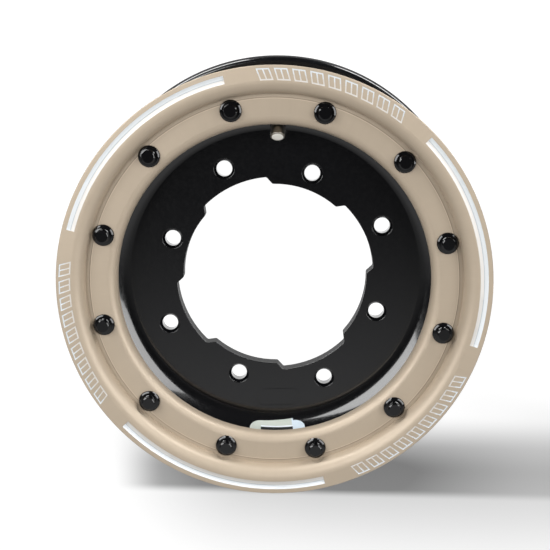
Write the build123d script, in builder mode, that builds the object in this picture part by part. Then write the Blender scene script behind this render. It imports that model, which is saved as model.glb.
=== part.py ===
from build123d import *
from math import cos, radians, sin, tan
import os

os.makedirs("parts", exist_ok=True)

# A welded two-piece aluminium beadlock wheel for a light off-road vehicle, in millimetres.
# The origin is the centre of the hub mounting face. +Z runs along the axle out of the
# beadlock side, and +Y points to the valve. The two halves meet in a joint face in front
# of the origin, and every height below is measured from that face.

# Mounting disc, one layer from each half
disc_thickness = 4.8
barrel_disc_thickness = 4.8
disc_edge_radius = 0.35
bore_radius = 60.75
bore_lobe_radius = 65.4
bore_lobe_count = 4
bore_lobe_span = 40.5
bore_flank_span = 3.4
bore_corner_radius = 1.8
lug_count = 4
lug_hole_radius = 5.2
lug_seat_radius = 6.75
lug_seat_angle = 60
outer_lug_circle = 156
inner_lug_circle = 144
outer_lug_angle = 26.4
inner_lug_angle = outer_lug_angle + 180 / lug_count

# Blank pressed frame at the bottom of the disc
frame_offset = 6
frame_angle = 272.9
frame_length = 31
frame_height = 12.5
frame_stroke = 1.1
frame_depth = 0.35

# Spun wall of the outboard half, which leans away from the axle
bowl_start_radius = 96
bowl_corner_radius = 17
bowl_back_corner_radius = 21
bowl_lean = 39
bowl_wall = 4

# Beadlock rings. Their radii build up from the rim of the bowl
clamp_seat_height = 29.0
base_ring_thickness = 6.35
base_ring_ledge = 13.15
base_ring_overhang = 10.3
base_ring_edge = 0.6
spigot_clearance = 0.15
spigot_wall = 4.15
spigot_depth = 3.9
clamp_plate_thickness = 5.6
clamp_nose_radius = 5.6
clamp_relief_offset = 4.9
clamp_relief_width = 2.8
clamp_relief_depth = 0.4
clamp_shoulder_radius = 8.0
clamp_spot_face_radius = 8.6
clamp_band_width = 17.3
clamp_band_height = 15.2
clamp_lip_thickness = 5
clamp_edge_radius = 0.5
clamp_back_land_width = 1.8
clamp_back_slope_width = 6.2
clamp_back_fillet = 2

# Milled arcs, cut with a round-nosed cutter, and slanted marks in the clamp ring's outer band
groove_count = 3
groove_span = 61
groove_edge_margin = 2.95
groove_width = 5.2
groove_depth = 0.8
mark_count = 9
mark_pitch = 4.66
mark_height = 7.4
mark_width = 8.2
mark_slant = 2.6
mark_stroke = 0.85
mark_depth = 0.3

# Flange bolts round the clamp ring
bolt_count = 12
bolt_circle_offset = 7.6
bolt_start_angle = 15
bolt_shank_radius = 3
bolt_length = 12
bolt_clearance = 0.3
bolt_thread_clearance = 0.05
bolt_flange_radius = 6.95
bolt_flange_edge = 1.1
bolt_flange_height = 2.1
bolt_head_height = 6.6
bolt_across_flats = 8
bolt_dish_radius = 2.7
bolt_dish_depth = 0.5
bolt_point_chamfer = 0.6
bolt_clocking_step = 37

# Inboard half: a spun barrel with a well, a safety hump, a bead seat and a rolled flange
barrel_wall = 4
barrel_disc_corner = 8
well_offset = 6.5
well_length = 22
ramp_rise = 24.9
ramp_length = 51
hump_drop = 2
hump_length = 6
seat_rise = 1.2
seat_length = 18.8
flange_rise = 16.1
flange_roll_radius = 3.8
well_bend = 14
hump_bend = 2.5
flange_bend = 5.2
weld_radius = 2.6
weld_offset = 0.8

# Valve, square to the leaning wall. Depths and heights run along its own axis from the wall
valve_hole_radius = 5.75
valve_rubber_clearance = 0.05
valve_head_radius = 8.6
valve_head_height = 3.2
valve_head_edge = 0.8
valve_collar_radius = 7.4
valve_collar_height = 2.4
valve_shoulder_height = 5.6
valve_neck_radius = 5.0
valve_neck_top = 12.4
valve_stem_radius = 3.1
valve_stem_foot = 0.8
valve_thread_radius = 3.85
valve_mouth = 19.6
valve_mouth_chamfer = 0.4
valve_bore_radius = 2.05
core_thread_radius = 2.6
core_clearance = 0.05
core_recess = 2.0
core_thread_length = 4.0
core_seat_length = 2.0
core_neck_radius = 1.3
core_neck_length = 1.7
core_tube_radius = 1.9
core_tube_bore = 1.45
core_tube_length = 7.8
core_foot_wall = 0.7
core_bridge_width = 1.6
core_bridge_depth = 1.1
pin_radius = 0.5
pin_clearance = 0.08
pin_recess = 0.5
pin_tip_radius = 0.15
pin_collar_radius = 1.2
pin_collar_height = 0.6
pin_foot_radius = 1.75
pin_foot_height = 0.6
seal_radius = 1.7
seal_height = 1.25
seal_gap = 0.05
spring_height = 4.2
spring_gap = 0.08
spring_turns = 6
spring_wire_radius = 0.14
spring_coil_radius = 0.95
cap_gap = 0.3
cap_length = 8.6
cap_waist_radius = 4.4
cap_rim_radius = 4.7
cap_waist_length = 6.2
cap_thread_clearance = 0.1
cap_end_wall = 1.0
cap_rim_fillet = 0.4
cap_mouth_chamfer = 0.3
cap_crown_radius = 2.6
cap_crown_height = 0.5
cap_seal_thickness = 0.6
cap_seal_gap = 0.05

# Joint face between the halves, and the plane of the sections that are spun about the axle
joint_face = Plane.XY.offset(barrel_disc_thickness)
axle_section = Plane(origin=joint_face.origin, x_dir=(1, 0, 0), z_dir=(0, -1, 0))

# Heights and slopes that follow
base_ring_back = clamp_seat_height - base_ring_thickness
clamp_land_height = clamp_seat_height + clamp_plate_thickness
clamp_front_height = clamp_seat_height + clamp_band_height
lean = radians(bowl_lean)
bowl_turn = radians(90 - bowl_lean)
bowl_corner_start = bowl_start_radius + bowl_corner_radius * tan(bowl_turn / 2)
bowl_rim_inner = bowl_corner_start + (base_ring_back - disc_thickness) * tan(lean)
bowl_rim_outer = bowl_rim_inner + bowl_wall / cos(lean)
bowl_back_corner = bowl_rim_outer - base_ring_back * tan(lean)
base_ring_bore = bowl_rim_inner - base_ring_ledge
base_ring_outer_radius = bowl_rim_outer + base_ring_overhang
bolt_circle_radius = base_ring_bore + bolt_circle_offset
well_radius = bowl_start_radius + well_offset
bowl_arc_end_radius = bowl_start_radius + bowl_corner_radius * sin(bowl_turn)
bowl_arc_end_height = disc_thickness + bowl_corner_radius * (1 - cos(bowl_turn))

# The valve stands on the wall where its rounded corner ends, square to it
valve_seat = (0, bowl_arc_end_radius, barrel_disc_thickness + bowl_arc_end_height)
valve_direction = (0, -cos(lean), sin(lean))
valve_axis = Axis(valve_seat, valve_direction)
valve_section = Plane(origin=valve_seat, x_dir=(1, 0, 0), z_dir=(0, -sin(lean), -cos(lean)))
valve_face = Plane(origin=valve_seat, x_dir=(1, 0, 0), z_dir=valve_direction)


def nearest(shapes, x, y):
    """The vertex of a sketch that lies nearest to a place."""
    return shapes.sort_by_distance((x, y, 0))[0]


# Outboard half: the disc and its wall are one spun bowl
with BuildPart() as outer_rim_half:
    with BuildSketch(axle_section) as bowl_section:
        with BuildLine():
            Polyline(
                (bore_radius - bore_flank_span, 0),
                (bowl_back_corner, 0),
                (bowl_rim_outer, base_ring_back),
                (bowl_rim_inner, base_ring_back),
                (bowl_corner_start, disc_thickness),
                (bore_radius - bore_flank_span, disc_thickness),
                close=True,
            )
        make_face()
        fillet(nearest(bowl_section.vertices(), bowl_corner_start, disc_thickness), bowl_corner_radius)
        fillet(nearest(bowl_section.vertices(), bowl_back_corner, 0), bowl_back_corner_radius)
    revolve(axis=Axis.Z)
    with BuildSketch(joint_face) as bore_outline:
        with BuildLine():
            for lobe in range(bore_lobe_count):
                lobe_start = outer_lug_angle + lobe * 360 / bore_lobe_count - bore_lobe_span / 2
                lobe_end = lobe_start + bore_lobe_span
                web_start = lobe_end + bore_flank_span
                web_span = 360 / bore_lobe_count - bore_lobe_span - 2 * bore_flank_span
                high = CenterArc((0, 0), bore_lobe_radius, lobe_start, bore_lobe_span)
                low = CenterArc((0, 0), bore_radius, web_start, web_span)
                Line(high @ 1, low @ 0)
                next_start = radians(lobe_start + 360 / bore_lobe_count)
                next_lobe = (bore_lobe_radius * cos(next_start), bore_lobe_radius * sin(next_start))
                Line(low @ 1, next_lobe)
        make_face()
        fillet(bore_outline.vertices(), bore_corner_radius)
    extrude(amount=disc_thickness, mode=Mode.SUBTRACT)
    with Locations(joint_face.offset(disc_thickness)):
        with PolarLocations(outer_lug_circle / 2, lug_count, start_angle=outer_lug_angle):
            CounterSinkHole(lug_hole_radius, lug_seat_radius, counter_sink_angle=lug_seat_angle)
        with PolarLocations(inner_lug_circle / 2, lug_count, start_angle=inner_lug_angle):
            CounterSinkHole(lug_hole_radius, lug_seat_radius, counter_sink_angle=lug_seat_angle)
    disc_face = outer_rim_half.faces().filter_by(Plane.XY).sort_by(Axis.Z)[1]
    fillet(disc_face.inner_wires().edges(), disc_edge_radius)
    with BuildSketch(joint_face.offset(disc_thickness)):
        with PolarLocations(outer_lug_circle / 2 + frame_offset, 1, start_angle=frame_angle):
            SlotOverall(frame_length, frame_height, rotation=90)
            SlotOverall(
                frame_length - 2 * frame_stroke,
                frame_height - 2 * frame_stroke,
                rotation=90,
                mode=Mode.SUBTRACT,
            )
    extrude(amount=-frame_depth, mode=Mode.SUBTRACT)
    with BuildSketch(valve_face):
        Circle(valve_hole_radius)
    extrude(amount=2 * bowl_wall, both=True, mode=Mode.SUBTRACT)

# Inboard half: a spun barrel whose disc lies against the back of the bowl's
hump_radius = well_radius + ramp_rise
hump_position = -well_length - ramp_length
seat_start_radius = hump_radius - hump_drop
seat_start = hump_position - hump_length
seat_end_radius = seat_start_radius + seat_rise
flange_face = seat_start - seat_length
roll_centre_radius = seat_end_radius + flange_rise - flange_roll_radius
roll_centre_height = flange_face - flange_roll_radius
with BuildPart() as inner_rim_half:
    with BuildSketch(axle_section) as barrel_section:
        with BuildLine():
            tyre_side = FilletPolyline(
                (well_radius, disc_thickness),
                (well_radius, -well_length),
                (hump_radius, hump_position),
                (seat_start_radius, seat_start),
                (seat_end_radius, flange_face),
                (roll_centre_radius, flange_face),
                radius=(well_bend, hump_bend, hump_bend, flange_bend),
            )
            offset(tyre_side, amount=barrel_wall, side=Side.RIGHT)
        make_face()
        with Locations((roll_centre_radius, roll_centre_height)):
            Circle(flange_roll_radius)
        with BuildLine():
            Polyline(
                (bore_radius - bore_flank_span, 0),
                (bore_radius - bore_flank_span, -barrel_disc_thickness),
                (well_radius, -barrel_disc_thickness),
                (well_radius, 0),
                close=True,
            )
        make_face()
        inner_corner = nearest(barrel_section.vertices(), well_radius - barrel_wall, -barrel_disc_thickness)
        fillet(inner_corner, barrel_disc_corner)
    revolve(axis=Axis.Z)
    add(outer_rim_half.part, mode=Mode.SUBTRACT)
    extrude(bore_outline.sketch, amount=-barrel_disc_thickness, mode=Mode.SUBTRACT)
    with Locations(joint_face):
        with PolarLocations(outer_lug_circle / 2, lug_count, start_angle=outer_lug_angle):
            Hole(lug_hole_radius)
        with PolarLocations(inner_lug_circle / 2, lug_count, start_angle=inner_lug_angle):
            Hole(lug_hole_radius)

# The weld that joins the halves, laid in the corner on the tyre side
bowl_back_arc_start = bowl_back_corner - bowl_back_corner_radius * tan(bowl_turn / 2)
weld_run = well_radius - bowl_back_arc_start
weld_corner_height = bowl_back_corner_radius - (bowl_back_corner_radius**2 - weld_run**2) ** 0.5
with BuildPart() as barrel_weld:
    with BuildSketch(axle_section):
        with Locations((well_radius + weld_offset, weld_corner_height - weld_offset)):
            Circle(weld_radius)
    revolve(axis=Axis.Z)
    add(outer_rim_half.part, mode=Mode.SUBTRACT)
    add(inner_rim_half.part, mode=Mode.SUBTRACT)

# Tapped ring on the rim of the bowl
with BuildPart() as beadlock_base_ring:
    with BuildSketch(joint_face.offset(base_ring_back)):
        Circle(base_ring_outer_radius)
        Circle(base_ring_bore, mode=Mode.SUBTRACT)
    extrude(amount=base_ring_thickness)
    chamfer(beadlock_base_ring.edges().filter_by(GeomType.CIRCLE), base_ring_edge)
    with Locations(joint_face.offset(clamp_seat_height)):
        with PolarLocations(bolt_circle_radius, bolt_count, start_angle=bolt_start_angle):
            Hole(bolt_shank_radius + bolt_thread_clearance)

# Weld behind the tapped ring
with BuildPart() as base_ring_weld:
    with BuildSketch(axle_section):
        with Locations((bowl_rim_outer + weld_offset, base_ring_back - weld_offset)):
            Circle(weld_radius)
    revolve(axis=Axis.Z)
    add(outer_rim_half.part, mode=Mode.SUBTRACT)
    add(beadlock_base_ring.part, mode=Mode.SUBTRACT)

# One mark is a slanted block with two windows left standing in it
mark_window = (mark_width - 3 * mark_stroke) / 2
mark_window_offset = (mark_window + mark_stroke) / 2


def slanted_block(width, shift, mode=Mode.ADD):
    """A block that leans over as it goes outwards, or one of its windows."""
    half_height = mark_height / 2
    if mode == Mode.SUBTRACT:
        half_height -= mark_stroke
    lean_over = mark_slant * half_height / mark_height
    Polygon(
        (-half_height, shift - width / 2 - lean_over),
        (-half_height, shift + width / 2 - lean_over),
        (half_height, shift + width / 2 + lean_over),
        (half_height, shift - width / 2 + lean_over),
        mode=mode,
        align=None,
    )


# Turned clamp ring: a spigot, a sunken land for the bolts and a raised outer band
spigot_outer_radius = base_ring_bore - spigot_clearance
spigot_inner_radius = spigot_outer_radius - spigot_wall
spigot_foot = clamp_seat_height - spigot_depth
clamp_relief_radius = bolt_circle_radius + clamp_relief_offset
clamp_step_radius = clamp_relief_radius + clamp_relief_width
clamp_outer_radius = clamp_step_radius + clamp_band_width
clamp_back_land_radius = clamp_step_radius + clamp_back_land_width
clamp_back_band_radius = clamp_back_land_radius + clamp_back_slope_width
clamp_lip_back = clamp_front_height - clamp_lip_thickness
groove_outer_radius = clamp_outer_radius - groove_edge_margin
groove_middle_radius = groove_outer_radius - groove_width / 2
groove_cutter_radius = (groove_width**2 / 4 + groove_depth**2) / (2 * groove_depth)
with BuildPart() as beadlock_clamp_ring:
    with BuildSketch(axle_section) as clamp_section:
        with BuildLine():
            Polyline(
                (spigot_inner_radius, spigot_foot),
                (spigot_inner_radius, clamp_land_height),
                (clamp_relief_radius, clamp_land_height),
                (clamp_relief_radius, clamp_land_height - clamp_relief_depth),
                (clamp_step_radius, clamp_land_height - clamp_relief_depth),
                (clamp_step_radius, clamp_front_height),
                (clamp_outer_radius, clamp_front_height),
                (clamp_outer_radius, clamp_lip_back),
                (clamp_back_band_radius, clamp_lip_back),
                (clamp_back_land_radius, clamp_seat_height),
                (spigot_outer_radius, clamp_seat_height),
                (spigot_outer_radius, spigot_foot),
                close=True,
            )
        make_face()
        rounded_corners = (
            (spigot_inner_radius, clamp_land_height, clamp_nose_radius),
            (clamp_step_radius, clamp_front_height, clamp_shoulder_radius),
            (clamp_back_band_radius, clamp_lip_back, clamp_back_fillet),
            (clamp_outer_radius, clamp_front_height, clamp_edge_radius),
            (clamp_outer_radius, clamp_lip_back, clamp_edge_radius),
        )
        for corner_radius, corner_height, rounding in rounded_corners:
            fillet(nearest(clamp_section.vertices(), corner_radius, corner_height), rounding)
    revolve(axis=Axis.Z)
    with Locations(joint_face.offset(clamp_land_height)):
        with PolarLocations(bolt_circle_radius, bolt_count, start_angle=bolt_start_angle):
            Hole(bolt_shank_radius + bolt_clearance)
            Cylinder(
                clamp_spot_face_radius,
                clamp_band_height,
                align=(Align.CENTER, Align.CENTER, Align.MIN),
                mode=Mode.SUBTRACT,
            )
    for groove in range(groove_count):
        groove_start = bolt_start_angle + groove * 360 / groove_count - groove_span / 2
        with BuildSketch(axle_section.rotated((0, 0, groove_start))):
            with Locations((groove_middle_radius, clamp_front_height - groove_depth + groove_cutter_radius)):
                Circle(groove_cutter_radius)
        revolve(axis=Axis.Z, revolution_arc=groove_span, mode=Mode.SUBTRACT)
    with BuildSketch(joint_face.offset(clamp_front_height)):
        for group in range(groove_count):
            group_middle = bolt_start_angle + (group + 1 / 2) * 360 / groove_count
            first_mark = group_middle - mark_pitch * (mark_count - 1) / 2
            marks = PolarLocations(
                groove_middle_radius,
                mark_count,
                start_angle=first_mark,
                angular_range=mark_pitch * mark_count,
                endpoint=False,
            )
            with marks:
                slanted_block(mark_width, 0)
            with marks:
                slanted_block(mark_window, mark_window_offset, Mode.SUBTRACT)
                slanted_block(mark_window, -mark_window_offset, Mode.SUBTRACT)
    extrude(amount=-mark_depth, mode=Mode.SUBTRACT)

# One flange bolt, standing on the plane of its seat
with BuildPart() as flange_bolt:
    with BuildSketch(Plane.XZ):
        with BuildLine():
            Polyline(
                (0, -bolt_length),
                (bolt_shank_radius - bolt_point_chamfer, -bolt_length),
                (bolt_shank_radius, -bolt_length + bolt_point_chamfer),
                (bolt_shank_radius, 0),
                (bolt_flange_radius, 0),
                (bolt_flange_radius, bolt_flange_edge),
                (bolt_across_flats / 2, bolt_flange_height),
                (0, bolt_flange_height),
                close=True,
            )
        make_face()
    revolve(axis=Axis.Z)
    with BuildSketch(Plane.XY):
        RegularPolygon(bolt_across_flats / 2, 6, major_radius=False)
    extrude(amount=bolt_head_height)
    with BuildSketch(Plane.XZ):
        with BuildLine():
            Polyline(
                (bolt_across_flats / 2, bolt_head_height),
                (bolt_across_flats, bolt_head_height),
                (bolt_across_flats, bolt_head_height - bolt_across_flats / 2 * tan(radians(30))),
                close=True,
            )
        make_face()
    revolve(axis=Axis.Z, mode=Mode.SUBTRACT)
    with Locations((0, 0, bolt_head_height)):
        Cylinder(
            bolt_dish_radius,
            bolt_dish_depth,
            align=(Align.CENTER, Align.CENTER, Align.MAX),
            mode=Mode.SUBTRACT,
        )

# The bolts, each turned a little differently
with BuildPart() as beadlock_bolts:
    for number in range(bolt_count):
        angle = radians(bolt_start_angle + number * 360 / bolt_count)
        place = (bolt_circle_radius * cos(angle), bolt_circle_radius * sin(angle), clamp_land_height)
        with Locations(joint_face.location * Location(place, (0, 0, number * bolt_clocking_step % 60))):
            add(flange_bolt.part)

# Valve rubber: a head on the tyre side, a waist in the hole, a collar and a tapered neck
with BuildPart() as valve_rubber_body:
    with BuildSketch(valve_section):
        with BuildLine():
            Polyline(
                (valve_stem_radius, -bowl_wall - valve_head_height),
                (valve_head_radius - valve_head_edge, -bowl_wall - valve_head_height),
                (valve_head_radius, -bowl_wall - valve_head_height + valve_head_edge),
                (valve_head_radius, -bowl_wall),
                (valve_hole_radius - valve_rubber_clearance, -bowl_wall),
                (valve_hole_radius - valve_rubber_clearance, 0),
                (valve_collar_radius, 0),
                (valve_collar_radius, valve_collar_height),
                (valve_neck_radius, valve_shoulder_height),
                (valve_neck_radius, valve_neck_top),
                (valve_stem_radius, valve_neck_top),
                close=True,
            )
        make_face()
    revolve(axis=valve_axis)
    add(outer_rim_half.part, mode=Mode.SUBTRACT)

# Brass stem inside the rubber, with the cap's thread and the seat of the core
core_top = valve_mouth - core_recess
core_thread_foot = core_top - core_thread_length
with BuildPart() as valve_stem:
    with BuildSketch(valve_section):
        with BuildLine():
            Polyline(
                (valve_bore_radius, -bowl_wall - valve_head_height - valve_stem_foot),
                (valve_stem_radius, -bowl_wall - valve_head_height - valve_stem_foot),
                (valve_stem_radius, valve_neck_top),
                (valve_thread_radius, valve_neck_top),
                (valve_thread_radius, valve_mouth - valve_mouth_chamfer),
                (valve_thread_radius - valve_mouth_chamfer, valve_mouth),
                (core_thread_radius + core_clearance, valve_mouth),
                (core_thread_radius + core_clearance, core_thread_foot),
                (valve_bore_radius, core_thread_foot - core_seat_length),
                close=True,
            )
        make_face()
    revolve(axis=valve_axis)

# Core body: threaded head with a bridge, a neck for the gasket and the spring's tube
core_neck_foot = core_thread_foot - core_neck_length
core_tube_foot = core_neck_foot - core_tube_length
with BuildPart() as valve_core_body:
    with BuildSketch(valve_section):
        with BuildLine():
            Polyline(
                (pin_radius + pin_clearance, core_top),
                (core_thread_radius, core_top),
                (core_thread_radius, core_thread_foot),
                (core_neck_radius, core_thread_foot),
                (core_neck_radius, core_neck_foot),
                (core_tube_radius, core_neck_foot),
                (core_tube_radius, core_tube_foot),
                (pin_radius + pin_clearance, core_tube_foot),
                (pin_radius + pin_clearance, core_tube_foot + core_foot_wall),
                (core_tube_bore, core_tube_foot + core_foot_wall),
                (core_tube_bore, core_neck_foot - core_foot_wall),
                (pin_radius + pin_clearance, core_neck_foot - core_foot_wall),
                close=True,
            )
        make_face()
    revolve(axis=valve_axis)
    with BuildSketch(valve_face.offset(core_top)):
        Circle(2 * core_thread_radius)
        Rectangle(core_bridge_width, 4 * core_thread_radius, mode=Mode.SUBTRACT)
    extrude(amount=-core_bridge_depth, mode=Mode.SUBTRACT)

# Soft sleeve round the neck of the core, squeezed into the cone of the stem
gasket_top_radius = core_thread_radius - core_clearance
gasket_taper = (core_thread_radius - valve_bore_radius) / core_seat_length
with BuildPart() as valve_core_gasket:
    with BuildSketch(valve_section):
        with BuildLine():
            Polyline(
                (core_neck_radius + core_clearance, core_thread_foot),
                (gasket_top_radius, core_thread_foot),
                (gasket_top_radius - gasket_taper * core_neck_length, core_neck_foot),
                (core_neck_radius + core_clearance, core_neck_foot),
                close=True,
            )
        make_face()
    revolve(axis=valve_axis)

# Pin through the core, with a collar for the spring and a foot that carries the seal
seal_top = core_tube_foot - seal_gap
seal_foot = seal_top - seal_height
spring_foot = core_tube_foot + core_foot_wall + spring_gap
pin_collar_foot = spring_foot + spring_height + spring_gap
with BuildPart() as valve_pin:
    with BuildSketch(valve_section):
        with BuildLine():
            Polyline(
                (0, seal_foot - pin_foot_height),
                (pin_foot_radius, seal_foot - pin_foot_height),
                (pin_foot_radius, seal_foot),
                (pin_radius, seal_foot),
                (pin_radius, pin_collar_foot),
                (pin_collar_radius, pin_collar_foot),
                (pin_collar_radius, pin_collar_foot + pin_collar_height),
                (pin_radius, pin_collar_foot + pin_collar_height),
                (pin_radius, valve_mouth - pin_recess - pin_tip_radius),
                (pin_radius - pin_tip_radius, valve_mouth - pin_recess),
                (0, valve_mouth - pin_recess),
                close=True,
            )
        make_face()
    revolve(axis=valve_axis)

# Seal on the foot of the pin
with BuildPart() as valve_pin_seal:
    with BuildSketch(valve_face.offset(seal_foot)):
        Circle(seal_radius)
        Circle(pin_radius + pin_clearance / 2, mode=Mode.SUBTRACT)
    extrude(amount=seal_height)

# Spring between the foot of the core's tube and the pin's collar
spring_wire_height = spring_height - 2 * spring_wire_radius
spring_start = valve_face.offset(spring_foot + spring_wire_radius)
with BuildPart() as upright_spring:
    with BuildLine():
        coil = Helix(spring_wire_height / spring_turns, spring_wire_height, spring_coil_radius)
    with BuildSketch(Plane(coil @ 0, z_dir=coil % 0)):
        Circle(spring_wire_radius)
    sweep(path=coil, is_frenet=True)
with BuildPart() as valve_core_spring:
    with Locations(spring_start.location):
        add(upright_spring.part)

# Cap, slightly flared to a rounded end, and its seal
cap_foot = valve_neck_top + cap_gap
cap_top = cap_foot + cap_length
cap_bore_top = cap_top - cap_end_wall
with BuildPart() as valve_cap:
    with BuildSketch(valve_section) as cap_section:
        with BuildLine():
            Polyline(
                (valve_thread_radius + cap_thread_clearance, cap_foot),
                (cap_waist_radius - cap_mouth_chamfer, cap_foot),
                (cap_waist_radius, cap_foot + cap_mouth_chamfer),
                (cap_rim_radius, cap_foot + cap_waist_length),
                (cap_rim_radius, cap_top - cap_crown_height),
                (cap_crown_radius, cap_top),
                (0, cap_top),
                (0, cap_bore_top),
                (valve_thread_radius + cap_thread_clearance, cap_bore_top),
                close=True,
            )
        make_face()
        cap_corner = nearest(cap_section.vertices(), cap_rim_radius, cap_top - cap_crown_height)
        fillet(cap_corner, cap_rim_fillet)
    revolve(axis=valve_axis)

with BuildPart() as valve_cap_seal:
    with BuildSketch(valve_face.offset(valve_mouth + cap_seal_gap)):
        Circle(valve_thread_radius)
    extrude(amount=cap_seal_thickness)

pieces = {
    "outer_rim_half": outer_rim_half,
    "inner_rim_half": inner_rim_half,
    "barrel_weld": barrel_weld,
    "beadlock_base_ring": beadlock_base_ring,
    "base_ring_weld": base_ring_weld,
    "beadlock_clamp_ring": beadlock_clamp_ring,
    "beadlock_bolts": beadlock_bolts,
    "valve_rubber_body": valve_rubber_body,
    "valve_stem": valve_stem,
    "valve_core_body": valve_core_body,
    "valve_core_gasket": valve_core_gasket,
    "valve_pin": valve_pin,
    "valve_pin_seal": valve_pin_seal,
    "valve_core_spring": valve_core_spring,
    "valve_cap": valve_cap,
    "valve_cap_seal": valve_cap_seal,
}
for name, piece in pieces.items():
    piece.part.label = name
    export_step(piece.part, f"parts/{name}.step")
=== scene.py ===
"""Visual model of a beadlock wheel, laid out as an add-on and run as a script."""

from math import atan2, cos, hypot, pi, radians, sin

import bpy
from mathutils import Matrix, Vector


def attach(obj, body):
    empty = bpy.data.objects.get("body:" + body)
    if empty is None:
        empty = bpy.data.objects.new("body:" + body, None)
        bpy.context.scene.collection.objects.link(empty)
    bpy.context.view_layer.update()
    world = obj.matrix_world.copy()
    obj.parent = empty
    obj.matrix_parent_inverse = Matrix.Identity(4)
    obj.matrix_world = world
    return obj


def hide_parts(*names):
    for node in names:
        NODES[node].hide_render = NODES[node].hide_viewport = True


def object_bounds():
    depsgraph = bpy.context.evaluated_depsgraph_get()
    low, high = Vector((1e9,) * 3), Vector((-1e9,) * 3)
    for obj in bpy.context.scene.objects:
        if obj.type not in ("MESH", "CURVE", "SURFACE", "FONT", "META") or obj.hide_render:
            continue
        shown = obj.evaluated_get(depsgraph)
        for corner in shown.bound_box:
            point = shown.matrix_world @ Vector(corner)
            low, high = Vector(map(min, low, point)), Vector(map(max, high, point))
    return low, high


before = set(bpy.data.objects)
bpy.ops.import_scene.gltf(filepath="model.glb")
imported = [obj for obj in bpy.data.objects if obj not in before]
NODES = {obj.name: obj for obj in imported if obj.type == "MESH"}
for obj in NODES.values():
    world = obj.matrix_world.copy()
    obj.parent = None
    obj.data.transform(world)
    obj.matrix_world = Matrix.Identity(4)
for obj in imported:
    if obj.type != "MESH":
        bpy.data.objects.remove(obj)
CAD_BOX = [list(corner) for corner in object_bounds()]

bl_info = {
    "name": "Beadlock Wheel",
    "version": (1, 0, 0),
    "blender": (4, 5, 0),
    "location": "3D View > Sidebar > Wheel",
    "description": "Finishes and studio for a welded beadlock wheel",
    "category": "Object",
}

MM = 0.001
BEYOND = 1.0  # metres, further than any point of the wheel
BOWL_LEAN = radians(51)  # the bowl's wall over the disc
VALVE_AXIS = Vector((0, -0.777, 0.629))  # towards the cap's end


# ---------------------------------------------------------------- properties


def colour_property(name, description, default):
    """A linear colour that the sidebar can change."""
    return bpy.props.FloatVectorProperty(
        name=name,
        description=description,
        subtype="COLOR",
        size=3,
        min=0.0,
        max=1.0,
        default=default,
    )


def length_property(name, description, millimetres):
    """A length, shown in scene units and written here in millimetres."""
    return bpy.props.FloatProperty(
        name=name, description=description, unit="LENGTH", default=millimetres * MM, min=0.0
    )


class WheelColours(bpy.types.PropertyGroup):
    """Base colours of the finishes, with the colours of the painted highlights, reflections and
    shade lines laid on them.
    """

    black_coat: colour_property(
        "Black coat", "Gloss black powder coat on the rim halves", (0.003, 0.0031, 0.0038)
    )
    champagne: colour_property("Champagne", "Satin anodised clamp ring", (0.43, 0.355, 0.27))
    milled: colour_property("Milled", "Bare milled aluminium in the ring", (0.66, 0.64, 0.61))
    # The grooves' outer slopes get a painted reflection: a lighter, bluer tone of the same bare
    # metal.
    milled_slope_reflection: colour_property(
        "Milled outside", "The grooves' outer slopes", (0.68, 0.71, 0.73)
    )
    # A painted shade line along the grooves' bottom.
    milled_crease_shade: colour_property(
        "Milled line", "The line along the grooves' middle", (0.36, 0.42, 0.47)
    )
    bolt_black: colour_property("Bolt black", "Gloss black bolts", (0.003, 0.003, 0.0035))
    rubber: colour_property("Rubber", "Moulded rubber of the valve", (0.014, 0.014, 0.015))
    brass: colour_property("Brass", "Turned brass of the valve", (0.63, 0.45, 0.20))
    nickel: colour_property("Nickel", "Plated cap of the valve", (0.75, 0.70, 0.62))
    # A painted highlight on the cap's end face.
    cap_end_highlight: colour_property("Cap face", "End face of the valve cap", (0.86, 0.84, 0.78))
    seal: colour_property("Seal", "Soft seals inside the valve", (0.28, 0.03, 0.018))
    steel: colour_property("Steel", "Spring wire", (0.56, 0.57, 0.58))
    label: colour_property("Label", "Silver side of the small label", (0.52, 0.56, 0.51))
    label_end: colour_property("Label end", "Pale end of the small label", (0.62, 0.72, 0.80))
    label_bar: colour_property("Label bar", "Dark bar on the small label", (0.006, 0.006, 0.007))
    label_bar_edge: colour_property(
        "Label bar edge", "Light line along the dark bar", (0.78, 0.84, 0.88)
    )


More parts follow.
